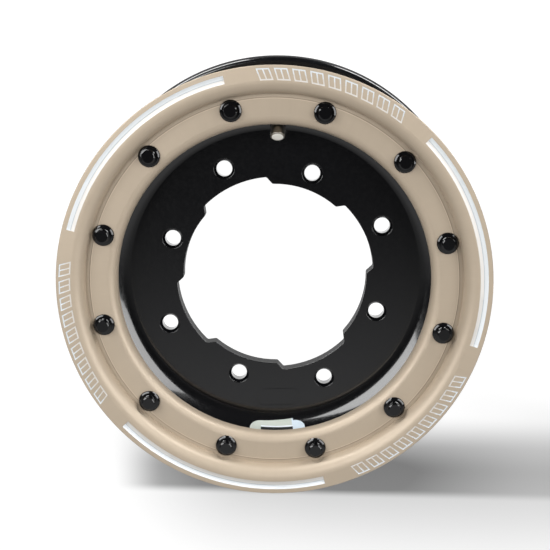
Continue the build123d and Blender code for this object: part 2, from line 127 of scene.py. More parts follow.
class WheelSizes(bpy.types.PropertyGroup):
    """Sizes of what is modelled or finished on top of the CAD frame."""

    milled_inner_radius: length_property(
        "Milled inner radius", "Inside of the milled arcs and marks", 128.8
    )
    milled_outer_radius: length_property(
        "Milled outer radius", "Outside of the milled arcs and marks", 136.7
    )
    milled_top: length_property("Milled top", "Height below which the band is bare metal", 48.97)
    milled_foot: length_property("Milled foot", "Lowest bare metal in the band", 48.0)
    groove_middle_radius: length_property("Groove middle", "Radius of the grooves' middle", 132.75)
    groove_foot: length_property("Groove foot", "Height of the line along the grooves", 48.213)
    land_edge: length_property("Land edge", "Radius of the edge round the bolts' land", 117.93)
    # The dark line round the ring is a painted dark reflection on its outer edge.
    painted_rim_line: length_property("Rim line", "Inside of the dark line round the ring", 137.95)
    bolt_circle: length_property("Bolt circle", "Radius on which the bolts stand", 113.01)
    bolt_seat: length_property("Bolt seat", "Height of the face under the bolts", 39.4)
    bolt_flange: length_property("Bolt flange", "Radius of a bolt's flange", 6.95)
    bolt_flats: length_property("Bolt flats", "Width of a bolt's head across flats", 8.0)
    barrel_bead_radius: length_property(
        "Barrel bead", "Radius of the weld round the barrel", 103.3
    )
    barrel_bead_height: length_property("Barrel bead height", "Height of that weld", 5.255)
    ring_bead_radius: length_property("Ring bead", "Radius of the weld behind the ring", 124.51)
    ring_bead_height: length_property("Ring bead height", "Height of that weld", 26.65)
    bead_thickness: length_property("Bead thickness", "Radius of both weld beads", 2.5)
    bowl_start: length_property("Bowl start", "Radius at which the disc turns up", 96.0)
    bowl_corner: length_property("Bowl corner", "Rounding of the disc into its wall", 17.0)
    bore_reach: length_property("Bore reach", "Radius that holds all of the disc's cut bore", 66.0)
    disc_front: length_property("Disc front", "Height of the disc's front face", 9.6)
    label_length: length_property("Label length", "Length of the label along the wall", 36.0)
    label_width: length_property("Label width", "Width of the label up the wall", 15.0)
    label_foot: length_property("Label foot", "Run from the bowl's start to the label", 4.2)


class StudioSettings(bpy.types.PropertyGroup):
    """Camera and light."""

    camera_distance: length_property(
        "Camera distance", "From the front of the disc to the camera", 740.0
    )
    camera_azimuth: bpy.props.FloatProperty(
        name="Camera azimuth",
        description="Turn to the right of the axle, in degrees",
        default=1.02,
    )
    camera_elevation: bpy.props.FloatProperty(
        name="Camera elevation",
        description="Tilt from the axle towards the valve, in degrees",
        default=11.55,
    )
    camera_roll: bpy.props.FloatProperty(
        name="Camera roll", description="Turn of the wheel in the picture, in degrees", default=1.2
    )
    camera_lens: bpy.props.FloatProperty(
        name="Lens", description="Focal length in millimetres", default=72.85
    )
    left_box_level: bpy.props.FloatProperty(
        name="Left box level", description="Brightness of the soft box on the left", default=5.7
    )
    right_box_level: bpy.props.FloatProperty(
        name="Right box level", description="Brightness of the soft box on the right", default=4.9
    )
    top_box_level: bpy.props.FloatProperty(
        name="Top box level",
        description="Brightness of the two low boxes beyond the valve",
        default=13.0,
    )
    room_level: bpy.props.FloatProperty(
        name="Room level", description="Brightness of the dim room", default=0.03
    )
    front_level: bpy.props.FloatProperty(
        name="Front level", description="What the room's near side adds to that", default=0.42
    )


# ---------------------------------------------------------------- shader helpers


def add_node(tree, kind, place, **values):
    """A node at a place, with socket defaults and attributes set by name."""
    node = tree.nodes.new(kind)
    node.location = place
    for key, value in values.items():
        if hasattr(node, key):
            setattr(node, key, value)
        else:
            node.inputs[key.replace("_", " ").title()].default_value = value
    return node


def math_node(tree, operation, place, first=None, second=None, clamp=False):
    """A Math node whose two inputs are sockets or numbers."""
    node = tree.nodes.new("ShaderNodeMath")
    node.operation = operation
    node.location = place
    node.use_clamp = clamp
    for index, value in enumerate((first, second)):
        if isinstance(value, bpy.types.NodeSocket):
            tree.links.new(value, node.inputs[index])
        elif value is not None:
            node.inputs[index].default_value = value
    return node.outputs[0]


def fold(tree, operation, place, *values):
    """Sockets or numbers joined from left to right by Math nodes of one kind."""
    total = values[0]
    for column, value in enumerate(values[1:]):
        total = math_node(tree, operation, (place[0] + 160 * column, place[1]), total, value)
    return total


def new_group(name, inputs, outputs):
    """A shader node group with named sockets."""
    tree = bpy.data.node_groups.new(name, "ShaderNodeTree")
    for socket, kind, default in inputs:
        made = tree.interface.new_socket(socket, in_out="INPUT", socket_type=kind)
        made.default_value = default
    for socket, kind in outputs:
        tree.interface.new_socket(socket, in_out="OUTPUT", socket_type=kind)
    entry = add_node(tree, "NodeGroupInput", (-900, 0))
    leave = add_node(tree, "NodeGroupOutput", (900, 0))
    return tree, entry, leave


def place_group(tree, group, place, **values):
    """A group in a material, with its own values."""
    node = tree.nodes.new("ShaderNodeGroup")
    node.node_tree = group
    node.location = place
    for key, value in values.items():
        node.inputs[key.replace("_", " ").capitalize()].default_value = value
    return node


def new_material(name, **values):
    """A material with a Principled BSDF whose own sockets hold the plain values."""
    material = bpy.data.materials.new(name)
    material.use_nodes = True
    tree = material.node_tree
    shader = tree.nodes["Principled BSDF"]
    for key, value in values.items():
        shader.inputs[key.replace("_", " ")].default_value = value
    return material, tree, shader


def add_bump(tree, shader, height, strength, distance):
    """A Bump node from a height to the shader's normal."""
    bump = add_node(
        tree, "ShaderNodeBump", (-260, -300), strength=strength, distance=distance
    )
    tree.links.new(height, bump.inputs["Height"])
    tree.links.new(bump.outputs["Normal"], shader.inputs["Normal"])


def scaled(colour, factor):
    """A colour made lighter or darker by a factor."""
    return tuple(min(1.0, factor * value) for value in colour)


def mix_colour(tree, factor, first, second, place=(-300, 200)):
    """A colour mix between two colours or sockets."""
    node = tree.nodes.new("ShaderNodeMix")
    node.data_type = "RGBA"
    node.location = place
    tree.links.new(factor, node.inputs["Factor"])
    for index, value in ((6, first), (7, second)):
        if isinstance(value, bpy.types.NodeSocket):
            tree.links.new(value, node.inputs[index])
        else:
            node.inputs[index].default_value = (*value, 1.0)
    return node.outputs[2]


def mix_value(tree, factor, first, second, place=(-240, 40)):
    """A mix between the value of a socket and a number."""
    node = add_node(tree, "ShaderNodeMix", place)
    tree.links.new(factor, node.inputs["Factor"])
    tree.links.new(first, node.inputs[2])
    node.inputs[3].default_value = second
    return node.outputs[0]


def ramp_value(tree, factor, low, high, place=(-300, 0)):
    """A Map Range from 0..1 to low..high."""
    node = add_node(tree, "ShaderNodeMapRange", place)
    node.inputs["To Min"].default_value = low
    node.inputs["To Max"].default_value = high
    tree.links.new(factor, node.inputs["Value"])
    return node.outputs[0]


def ramp_between(tree, value, low, high, place):
    """0 below one value, 1 above the other, and a soft step between."""
    node = add_node(tree, "ShaderNodeMapRange", place)
    node.interpolation_type = "SMOOTHSTEP"
    tree.links.new(value, node.inputs["Value"])
    node.inputs["From Min"].default_value = low
    node.inputs["From Max"].default_value = high
    return node.outputs[0]


def give(material, *names):
    """Puts a material on CAD nodes through their slots."""
    for name in names:
        node = NODES[name]
        if not node.material_slots:
            node.data.materials.append(material)
        for slot in node.material_slots:
            slot.material = material


# ---------------------------------------------------------------- shared effects


def axle_place(tree):
    """Radius from the axle, height and angle of each point, from Object coordinates."""
    coordinates = add_node(tree, "ShaderNodeTexCoord", (-1600, 500))
    parts = add_node(tree, "ShaderNodeSeparateXYZ", (-1420, 500))
    tree.links.new(coordinates.outputs["Object"], parts.inputs[0])
    x, y, height = parts.outputs
    squares = math_node(
        tree,
        "ADD",
        (-1080, 500),
        math_node(tree, "MULTIPLY", (-1240, 580), x, x),
        math_node(tree, "MULTIPLY", (-1240, 420), y, y),
    )
    radius = math_node(tree, "SQRT", (-920, 500), squares)
    return radius, height, math_node(tree, "ARCTAN2", (-1240, 260), y, x)


def turning_marks_group():
    """Fine rings left by a lathe, about the axle."""
    tree, entry, leave = new_group(
        "turning_marks",
        [("Pitch", "NodeSocketFloat", 0.0004), ("Wander", "NodeSocketFloat", 0.15)],
        [("Height", "NodeSocketFloat")],
    )
    radius, height, turn = axle_place(tree)
    along = math_node(tree, "ADD", (-60, 300), radius, height)
    rings = math_node(tree, "DIVIDE", (100, 300), along, entry.outputs["Pitch"])
    drift = math_node(tree, "MULTIPLY", (100, 60), turn, entry.outputs["Wander"])
    joined = add_node(tree, "ShaderNodeCombineXYZ", (280, 200))
    tree.links.new(rings, joined.inputs[0])
    tree.links.new(drift, joined.inputs[1])
    noise = add_node(tree, "ShaderNodeTexNoise", (460, 200), scale=1.0, detail=3.0)
    tree.links.new(joined.outputs[0], noise.inputs["Vector"])
    tree.links.new(noise.outputs["Fac"], leave.inputs["Height"])
    return tree


def coat_texture_group():
    """The slight waviness and fine dust of a sprayed coat."""
    tree, entry, leave = new_group(
        "coat_texture",
        [("Wave size", "NodeSocketFloat", 0.0016), ("Speck size", "NodeSocketFloat", 0.0004)],
        [("Height", "NodeSocketFloat"), ("Specks", "NodeSocketFloat")],
    )
    place = add_node(tree, "ShaderNodeTexCoord", (-900, 300))
    wave = add_node(tree, "ShaderNodeTexNoise", (-300, 300), detail=2.0)
    tree.links.new(place.outputs["Object"], wave.inputs["Vector"])
    wave_scale = math_node(tree, "DIVIDE", (-500, 200), 1.0, entry.outputs["Wave size"])
    tree.links.new(wave_scale, wave.inputs["Scale"])
    tree.links.new(wave.outputs["Fac"], leave.inputs["Height"])
    speck = add_node(tree, "ShaderNodeTexNoise", (-300, 0), detail=1.0)
    tree.links.new(place.outputs["Object"], speck.inputs["Vector"])
    speck_scale = math_node(tree, "DIVIDE", (-500, -80), 1.0, entry.outputs["Speck size"])
    tree.links.new(speck_scale, speck.inputs["Scale"])
    specks = math_node(
        tree,
        "MULTIPLY",
        (100, 0),
        math_node(tree, "SUBTRACT", (-60, 0), speck.outputs["Fac"], 0.66),
        8.0,
        clamp=True,
    )
    tree.links.new(specks, leave.inputs["Specks"])
    return tree


def band_mask_group():
    """1 between two radii and two heights about the axle."""
    tree, entry, leave = new_group(
        "band_mask",
        [
            ("Inner radius", "NodeSocketFloat", 0.0),
            ("Outer radius", "NodeSocketFloat", 1.0),
            ("Foot", "NodeSocketFloat", -1.0),
            ("Top", "NodeSocketFloat", 1.0),
        ],
        [("Mask", "NodeSocketFloat")],
    )
    radius, height, _ = axle_place(tree)
    tests = (
        ("GREATER_THAN", radius, "Inner radius"),
        ("LESS_THAN", radius, "Outer radius"),
        ("GREATER_THAN", height, "Foot"),
        ("LESS_THAN", height, "Top"),
    )
    mask = None
    for row, (operation, value, limit) in enumerate(tests):
        test = math_node(tree, operation, (-500, 300 - 160 * row), value, entry.outputs[limit])
        if mask is None:
            mask = test
        else:
            mask = math_node(tree, "MULTIPLY", (-300, 300 - 160 * row), mask, test)
    tree.links.new(mask, leave.inputs["Mask"])
    return tree


def radial_streaks_group():
    """Soft streaks that run out from the axle, as brushing and wiping leave them."""
    tree, entry, leave = new_group(
        "radial_streaks",
        [("Per turn", "NodeSocketFloat", 240.0), ("Length", "NodeSocketFloat", 0.03)],
        [("Streaks", "NodeSocketFloat")],
    )
    radius, height, _ = axle_place(tree)
    coordinates = add_node(tree, "ShaderNodeTexCoord", (-1200, 0))
    flat = add_node(tree, "ShaderNodeVectorMath", (-1020, 0), operation="MULTIPLY")
    flat.inputs[1].default_value = (1, 1, 0)
    tree.links.new(coordinates.outputs["Object"], flat.inputs[0])
    way = add_node(tree, "ShaderNodeVectorMath", (-840, 0), operation="NORMALIZE")
    tree.links.new(flat.outputs[0], way.inputs[0])
    turns = math_node(tree, "DIVIDE", (-840, -200), entry.outputs["Per turn"], 2 * pi)
    ring = add_node(tree, "ShaderNodeVectorMath", (-640, 0), operation="SCALE")
    tree.links.new(way.outputs[0], ring.inputs[0])
    tree.links.new(turns, ring.inputs["Scale"])
    along = math_node(tree, "ADD", (-640, 240), radius, height)
    lengths = math_node(tree, "DIVIDE", (-460, 240), along, entry.outputs["Length"])
    rise = add_node(tree, "ShaderNodeCombineXYZ", (-300, 240))
    tree.links.new(lengths, rise.inputs[2])
    place = add_node(tree, "ShaderNodeVectorMath", (-120, 100), operation="ADD")
    tree.links.new(ring.outputs[0], place.inputs[0])
    tree.links.new(rise.outputs[0], place.inputs[1])
    noise = add_node(tree, "ShaderNodeTexNoise", (80, 100), scale=1.0, detail=2.0)
    tree.links.new(place.outputs[0], noise.inputs["Vector"])
    tree.links.new(noise.outputs["Fac"], leave.inputs["Streaks"])
    return tree


def ring_mask(tree, effects, place, inner, outer=BEYOND, foot=0.0, top=BEYOND):
    """Where a material lies between two radii and two heights about the axle."""
    node = place_group(
        tree,
        effects["band_mask"],
        place,
        inner_radius=inner,
        outer_radius=outer,
        foot=foot,
        top=top,
    )
    return node.outputs["Mask"]


def combined_height(tree, place, *parts):
    """A sum of heights, each with its own weight."""
    x, y = place
    weighted = [
        math_node(tree, "MULTIPLY", (x, y - 160 * row), height, weight)
        for row, (height, weight) in enumerate(parts)
    ]
    return fold(tree, "ADD", (x + 180, y), *weighted)


# ---------------------------------------------------------------- finishes


def black_coat(colours, sizes, effects):
    """Gloss black powder coat over spun aluminium, matt in the disc's cut bore."""
    material, tree, shader = new_material(
        "black_coat", Roughness=0.2, IOR=1.5, Coat_Weight=1.0, Coat_Roughness=0.06
    )
    coat = place_group(
        tree, effects["coat_texture"], (-1000, 0), wave_size=0.0022, speck_size=0.0007
    )
    spun = place_group(tree, effects["turning_marks"], (-1000, -300), pitch=0.0009, wander=0.3)
    hairs = place_group(
        tree, effects["radial_streaks"], (-1000, -600), per_turn=700.0, length=0.02
    )
    dusted = scaled(colours.black_coat, 1.5)
    colour = mix_colour(tree, coat.outputs["Specks"], colours.black_coat, dusted)
    tree.links.new(colour, shader.inputs["Base Color"])
    below_face = sizes.disc_front - 0.4 * MM
    bore = ring_mask(tree, effects, (-1000, 300), 0.0, sizes.bore_reach, top=below_face)
    gloss = ramp_value(tree, coat.outputs["Height"], 0.10, 0.24)
    tree.links.new(mix_value(tree, bore, gloss, 0.5), shader.inputs["Roughness"])
    clear_coat = ramp_value(tree, bore, 1.0, 0.0, (-240, 300))
    tree.links.new(clear_coat, shader.inputs["Coat Weight"])
    mirror = ramp_value(tree, bore, 0.5, 0.4, (-240, 460))
    tree.links.new(mirror, shader.inputs["Specular IOR Level"])
    height = combined_height(
        tree,
        (-760, -300),
        (coat.outputs["Height"], 0.5),
        (spun.outputs["Height"], 0.12),
        (hairs.outputs["Streaks"], 0.4),
    )
    add_bump(tree, shader, height, 0.25, 0.00008)
    return material


def champagne_ring(colours, sizes, effects):
    """Satin anodised, turned face, with bare metal where the band is milled, and painted lines of
    light and shade on the ring and in its grooves.
    """
    material, tree, shader = new_material(
        "champagne_anodised", Metallic=0.2, Roughness=0.42, Coat_Weight=0.0, Coat_Roughness=0.3
    )
    turned = place_group(tree, effects["turning_marks"], (-1000, 0), pitch=0.0005, wander=0.4)
    coat = place_group(
        tree, effects["coat_texture"], (-1000, -260), wave_size=0.012, speck_size=0.0004
    )
    streaks = place_group(
        tree, effects["radial_streaks"], (-1000, -520), per_turn=420.0, length=0.05
    )
    both = math_node(
        tree, "ADD", (-880, 60), coat.outputs["Height"], streaks.outputs["Streaks"]
    )
    tone = math_node(tree, "MULTIPLY", (-760, 60), both, 0.5)
    satin = mix_colour(
        tree, tone, scaled(colours.champagne, 0.96), scaled(colours.champagne, 1.04), (-600, 60)
    )
    # Painted light: a dark line round the ring, a painted reflection on its outer edge, then a
    # painted highlight line and a painted shade line at the edge of the bolts' land.
    edge = sizes.land_edge
    lines = (
        (sizes.painted_rim_line, BEYOND, 0.5),
        # At the land's edge: a painted highlight line, then a painted shade line.
        (edge - 0.5 * MM, edge, 1.3),
        (edge, edge + 0.6 * MM, 0.72),
    )
    for row, (inner, outer, factor) in enumerate(lines):
        line = ring_mask(tree, effects, (-1000, 1200 + 300 * row), inner, outer)
        shade = scaled(colours.champagne, factor)
        satin = mix_colour(tree, line, satin, shade, (-440 + 60 * row, 100))
    middle = sizes.groove_middle_radius
    half_line = 0.45 * MM
    # A painted reflection on the grooves' outer slopes.
    outside = ring_mask(tree, effects, (-1000, 600), middle)
    cut = mix_colour(tree, outside, colours.milled, colours.milled_slope_reflection, (-600, 600))
    # A painted shade line along the grooves' bottom, where the slopes meet.
    line = ring_mask(
        tree, effects, (-1000, 900), middle - half_line, middle + half_line, top=sizes.groove_foot
    )
    cut = mix_colour(tree, line, cut, colours.milled_crease_shade, (-440, 600))
    milled = ring_mask(
        tree,
        effects,
        (-1000, 300),
        sizes.milled_inner_radius,
        sizes.milled_outer_radius,
        sizes.milled_foot,
        sizes.milled_top,
    )
    colour = mix_colour(tree, milled, satin, cut, (-240, 260))
    tree.links.new(colour, shader.inputs["Base Color"])
    worn = ramp_value(tree, streaks.outputs["Streaks"], 0.36, 0.5, (-600, -120))
    tree.links.new(mix_value(tree, milled, worn, 0.6), shader.inputs["Roughness"])
    height = combined_height(
        tree, (-600, -320), (turned.outputs["Height"], 1.0), (streaks.outputs["Streaks"], 0.3)
    )
    add_bump(tree, shader, height, 0.12, 0.00004)
    return material


def plain_finish(name, colour, effects, wave, strength, depth, **values):
    """A solid finish whose tone, gloss and surface vary a little."""
    material, tree, shader = new_material(name, **values)
    coat = place_group(
        tree, effects["coat_texture"], (-700, 0), wave_size=wave, speck_size=wave * 0.3
    )
    height = coat.outputs["Height"]
    tone = mix_colour(tree, height, scaled(colour, 0.88), scaled(colour, 1.12))
    tree.links.new(tone, shader.inputs["Base Color"])
    roughness = values["Roughness"]
    rough = ramp_value(tree, height, roughness * 0.85, roughness * 1.15)
    tree.links.new(rough, shader.inputs["Roughness"])
    add_bump(tree, shader, height, strength, depth)
    return material


def cap_finish(colours, effects):
    """Brushed plating with a painted highlight at the cap's end: a brighter, matt face."""
    material, tree, shader = new_material("nickel_plate", Metallic=1.0, Roughness=0.3)
    points = [vertex.co for vertex in NODES["valve_cap"].data.vertices]
    reach = max(point.dot(VALVE_AXIS) for point in points)
    crown = [point for point in points if point.dot(VALVE_AXIS) > reach - 0.05 * MM]
    place = add_node(tree, "ShaderNodeTexCoord", (-1400, 300))
    along = add_node(tree, "ShaderNodeVectorMath", (-1200, 300), operation="DOT_PRODUCT")
    along.inputs[1].default_value = VALVE_AXIS
    offset = add_node(tree, "ShaderNodeVectorMath", (-1200, 500), operation="DISTANCE")
    offset.inputs[1].default_value = sum(crown, Vector()) / len(crown)
    for node in (along, offset):
        tree.links.new(place.outputs["Object"], node.inputs[0])
    # The painted highlight covers the cap's end face.
    end = ramp_between(
        tree, along.outputs["Value"], reach - 0.9 * MM, reach - 0.7 * MM, (-1000, 300)
    )
    inside = ramp_between(tree, offset.outputs["Value"], 3.9 * MM, 3.5 * MM, (-1000, 500))
    face = math_node(tree, "MULTIPLY", (-800, 400), end, inside)
    grain = place_group(
        tree, effects["coat_texture"], (-1000, 0), wave_size=0.0008, speck_size=0.0003
    )
    height = grain.outputs["Height"]
    darker, lighter = scaled(colours.nickel, 0.5), scaled(colours.nickel, 0.62)
    body = mix_colour(tree, height, darker, lighter, (-700, 100))
    colour = mix_colour(tree, face, body, colours.cap_end_highlight, (-400, 200))
    tree.links.new(colour, shader.inputs["Base Color"])
    tree.links.new(ramp_value(tree, face, 1.0, 0.0, (-400, 400)), shader.inputs["Metallic"])
    tree.links.new(ramp_value(tree, face, 0.3, 0.45, (-400, -100)), shader.inputs["Roughness"])
    add_bump(tree, shader, height, 0.1, 0.00002)
    return material


def label_finish(colours, effects):
    """Silver label with a pale end and a dark bar along its lower side."""
    material, tree, shader = new_material("silver_label", Metallic=0.0, Roughness=0.35)
    bar_start, pale_start, pale_full = -94.0, -82.6, -82.2  # degrees about the axle
    edge_inner, bar_inner, bar_outer = 104.4 * MM, 105.2 * MM, 107.9 * MM  # radii
    angle = math_node(tree, "DEGREES", (-1000, 260), axle_place(tree)[2])
    pale = ramp_between(tree, angle, pale_start, pale_full, (-600, 300))
    colour = mix_colour(tree, pale, colours.label, colours.label_end, (-400, 300))
    along = math_node(
        tree,
        "MULTIPLY",
        (-640, 0),
        math_node(tree, "GREATER_THAN", (-800, 100), angle, bar_start),
        math_node(tree, "LESS_THAN", (-800, -60), angle, pale_full),
    )
    stripes = (
        (edge_inner, bar_inner, colours.label_bar_edge),
        (bar_inner, bar_outer, colours.label_bar),
    )
    for row, (inner, outer, tone) in enumerate(stripes):
        stripe = ring_mask(tree, effects, (-1000, -100 - 300 * row), inner, outer)
        stripe = math_node(tree, "MULTIPLY", (-480, -160 * row), stripe, along)
        colour = mix_colour(tree, stripe, colour, tone, (-300 + 100 * row, 200))
    tree.links.new(colour, shader.inputs["Base Color"])
    grain = place_group(
        tree, effects["coat_texture"], (-700, -400), wave_size=0.0006, speck_size=0.0003
    )
    rough = ramp_value(tree, grain.outputs["Height"], 0.28, 0.42)
    tree.links.new(rough, shader.inputs["Roughness"])
    add_bump(tree, shader, grain.outputs["Height"], 0.2, 0.00002)
    return material


# ---------------------------------------------------------------- modelling helpers


def lathe(name, profile, steps, smooth):
    """A turned piece: a profile of (radius, height) drawn point by point and spun about Z."""
    points = [Vector((radius, 0, height)) for radius, height in profile]
    bpy.ops.object.select_all(action="DESELECT")
    bpy.ops.mesh.primitive_plane_add(size=MM, location=(0, 0, 0))
    piece = bpy.context.object
    piece.name = name
    bpy.ops.object.mode_set(mode="EDIT")
    bpy.ops.mesh.merge(type="CENTER")
    bpy.ops.transform.translate(value=points[0])
    for before, after in zip(points, points[1:]):
        bpy.ops.mesh.extrude_vertices_move(TRANSFORM_OT_translate={"value": after - before})
    bpy.ops.mesh.select_all(action="SELECT")
    bpy.ops.mesh.spin(steps=steps, angle=2 * pi, center=(0, 0, 0), axis=(0, 0, 1))
    bpy.ops.mesh.select_all(action="SELECT")
    bpy.ops.mesh.remove_doubles(threshold=0.01 * MM)
    bpy.ops.mesh.normals_make_consistent(inside=False)
    bpy.ops.object.mode_set(mode="OBJECT")
    bpy.ops.object.shade_smooth_by_angle(angle=radians(smooth))
    return piece


def cut_across(axis, places):
    """Cuts the mesh in edit mode through, square to an axis, at each place along it."""
    for place in places:
        bpy.ops.mesh.select_all(action="SELECT")
        bpy.ops.mesh.bisect(plane_co=axis * place, plane_no=axis)


def join_copies(piece, matrices):
    """One object made of a copy of the piece at each place, each copy with its own mesh."""
    copies = []
    for matrix in matrices:
        copy = bpy.data.objects.new(piece.name + "_copy", piece.data.copy())
        copy.data.transform(matrix)
        bpy.context.scene.collection.objects.link(copy)
        copies.append(copy)
    name = piece.name
    bpy.data.objects.remove(piece)
    bpy.ops.object.select_all(action="DESELECT")
    for copy in copies:
        copy.select_set(True)
    bpy.context.view_layer.objects.active = copies[0]
    bpy.ops.object.join()
    copies[0].name = name
    return copies[0]


def dress(piece, material, body):
    """Gives a new piece its material, in its one slot, and its body."""
    piece.data.materials.clear()
    piece.data.materials.append(material)
    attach(piece, body)


def make_weld_bead(name, radius, height, thickness, ripples):
    """A weld bead round the axle, with the overlapping scales of a torch weld."""
    scale_height, scale_lean, unevenness = 0.07, 0.264, 0.02
    bpy.ops.object.select_all(action="DESELECT")
    bpy.ops.mesh.primitive_torus_add(
        location=(0, 0, 0),
        major_segments=ripples * 4,
        minor_segments=14,
        major_radius=radius,
        minor_radius=thickness,
    )
    bead = bpy.context.object
    bead.name = name
    for vertex in bead.data.vertices:
        turn = atan2(vertex.co.y, vertex.co.x)
        out = hypot(vertex.co.x, vertex.co.y) - radius
        lag = scale_lean * hypot(out, vertex.co.z) / thickness
        wave = (turn * ripples / (2 * pi) + lag) % 1.0
        scale = 1.0 + scale_height * (wave * (2.0 - wave) - 0.55)
        scale += unevenness * sin(turn * 37) * cos(turn * 11)
        reach = radius + out * scale
        vertex.co = (reach * cos(turn), reach * sin(turn), height + vertex.co.z * scale)
    bpy.ops.object.shade_smooth_by_angle(angle=radians(50))
    return bead


def flange_bolt(sizes):
    """One hexagon flange bolt on its own axis, with a flat-topped head and a threaded shank."""
    seat = sizes.bolt_seat
    half_flats = sizes.bolt_flats / 2
    half_corners = 4.5 * MM
    flange = sizes.bolt_flange / MM
    head_foot, flange_foot = 1.9, 0.02
    thread_crest, thread_root, half_pitch, thread_end = 3.0, 2.55, 0.5, -11.0
    profile = [
        (0.0, 6.4),
        (3.65, 6.4),
        (4.0, 6.16),
        (4.0, head_foot),
        (4.2, 1.7),
        (4.6, 1.64),
        (5.7, 1.56),
        (flange - 0.35, 1.18),
        (flange - 0.05, 0.8),
        (flange, 0.4),
        (flange - 0.15, flange_foot),
        (thread_crest, flange_foot),
    ]
    depth = 0.0
    while depth > thread_end:
        profile.append((thread_crest, depth - half_pitch))
        profile.append((thread_root, depth - 2 * half_pitch))
        depth -= 2 * half_pitch
    profile += [(2.3, -11.9), (0.0, -11.95)]
    outline = [(radius * MM, seat + height * MM) for radius, height in profile]
    bolt = lathe("flange_bolts", outline, steps=48, smooth=15)
    for vertex in bolt.data.vertices:
        radius = hypot(vertex.co.x, vertex.co.y)
        height = vertex.co.z - seat
        if half_flats * 0.98 < radius < half_flats * 1.02 and height > head_foot * MM:
            turn = atan2(vertex.co.y, vertex.co.x)
            across = (turn % (pi / 3)) - pi / 6
            hexagon = min(half_flats / cos(across), half_corners)
            vertex.co.x *= hexagon / radius
            vertex.co.y *= hexagon / radius
            if height > 5 * MM:
                vertex.co.z -= (hexagon - half_flats) / 2
    return bolt


def wall_point(sizes, run, lift):
    """Radius and height on the bowl, a run along its face from where it leaves the disc."""
    corner = sizes.bowl_corner
    turn = min(run / corner, BOWL_LEAN)
    straight = max(0.0, run - corner * BOWL_LEAN)
    radius = sizes.bowl_start + (corner - lift) * sin(turn) + straight * cos(BOWL_LEAN)
    height = corner - (corner - lift) * cos(turn) + straight * sin(BOWL_LEAN)
    return radius, sizes.disc_front + height


# ---------------------------------------------------------------- operators


EFFECTS = {}


def shared_effects():
    """The node groups that several finishes place, each built once."""
    if not EFFECTS:
        EFFECTS["turning_marks"] = turning_marks_group()
        EFFECTS["coat_texture"] = coat_texture_group()
        EFFECTS["radial_streaks"] = radial_streaks_group()
        EFFECTS["band_mask"] = band_mask_group()
    return EFFECTS


class WHEEL_OT_finishes(bpy.types.Operator):
    """Give the CAD nodes their finishes"""

    bl_idname = "wheel.finishes"
    bl_label = "Finishes"

    def execute(self, context):
        colours = context.scene.wheel_colours
        sizes = context.scene.wheel_sizes
        effects = shared_effects()
        give(
            black_coat(colours, sizes, effects),
            "outer_rim_half",
            "inner_rim_half",
            "beadlock_base_ring",
        )
        give(champagne_ring(colours, sizes, effects), "beadlock_clamp_ring")
        rubber = plain_finish(
            "valve_rubber",
            colours.rubber,
            effects,
            wave=0.0006,
            strength=0.3,
            depth=0.00004,
            Roughness=0.5,
            Metallic=0.0,
        )
        give(rubber, "valve_rubber_body")
        brass = plain_finish(
            "brass",
            colours.brass,
            effects,
            wave=0.0006,
            strength=0.1,
            depth=0.00002,
            Roughness=0.28,
            Metallic=1.0,
        )
        give(brass, "valve_stem", "valve_core_body", "valve_pin")
        seal = plain_finish(
            "soft_seal",
            colours.seal,
            effects,
            wave=0.0005,
            strength=0.2,
            depth=0.00003,
            Roughness=0.55,
            Metallic=0.0,
        )
        give(seal, "valve_core_gasket", "valve_pin_seal", "valve_cap_seal")
        steel = plain_finish(
            "spring_wire",
            colours.steel,
            effects,
            wave=0.0004,
            strength=0.1,
            depth=0.00001,
            Roughness=0.25,
            Metallic=1.0,
        )
        give(steel, "valve_core_spring")
        give(cap_finish(colours, effects), "valve_cap")
        return {"FINISHED"}


class WHEEL_OT_weld_beads(bpy.types.Operator):
    """Lay the two weld beads behind the disc and behind the tapped ring"""

    bl_idname = "wheel.weld_beads"
    bl_label = "Weld beads"

    def execute(self, context):
        sizes = context.scene.wheel_sizes
        coat = bpy.data.materials["black_coat"]
        barrel = (sizes.barrel_bead_radius, sizes.barrel_bead_height)
        ring = (sizes.ring_bead_radius, sizes.ring_bead_height)
        beads = (
            ("barrel_bead", barrel, 230, "barrel_weld"),
            ("ring_bead", ring, 280, "base_ring_weld"),
        )
        for name, (radius, height), ripples, node in beads:
            bead = make_weld_bead(name, radius, height, sizes.bead_thickness, ripples)
            dress(bead, coat, "wheel")
            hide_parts(node)
        return {"FINISHED"}


class WHEEL_OT_flange_bolts(bpy.types.Operator):
    """Set the twelve flange bolts in the clamp ring"""

    bl_idname = "wheel.flange_bolts"
    bl_label = "Flange bolts"

    def execute(self, context):
        colours = context.scene.wheel_colours
        sizes = context.scene.wheel_sizes
        first, step, clocking, hexagon = 15, 30, 37, 60  # degrees
        out = Matrix.Translation((sizes.bolt_circle, 0, 0))
        places = []
        for number in range(12):
            around = Matrix.Rotation(radians(first + step * number), 4, "Z")
            clocked = Matrix.Rotation(radians(number * clocking % hexagon), 4, "Z")
            places.append(around @ out @ clocked)
        bolts = join_copies(flange_bolt(sizes), places)
        finish = plain_finish(
            "bolt_black",
            colours.bolt_black,
            shared_effects(),
            wave=0.0008,
            strength=0.15,
            depth=0.00003,
            Roughness=0.08,
            Metallic=0.0,
            IOR=1.6,
        )
        dress(bolts, finish, "wheel")
        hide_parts("beadlock_bolts")
        return {"FINISHED"}


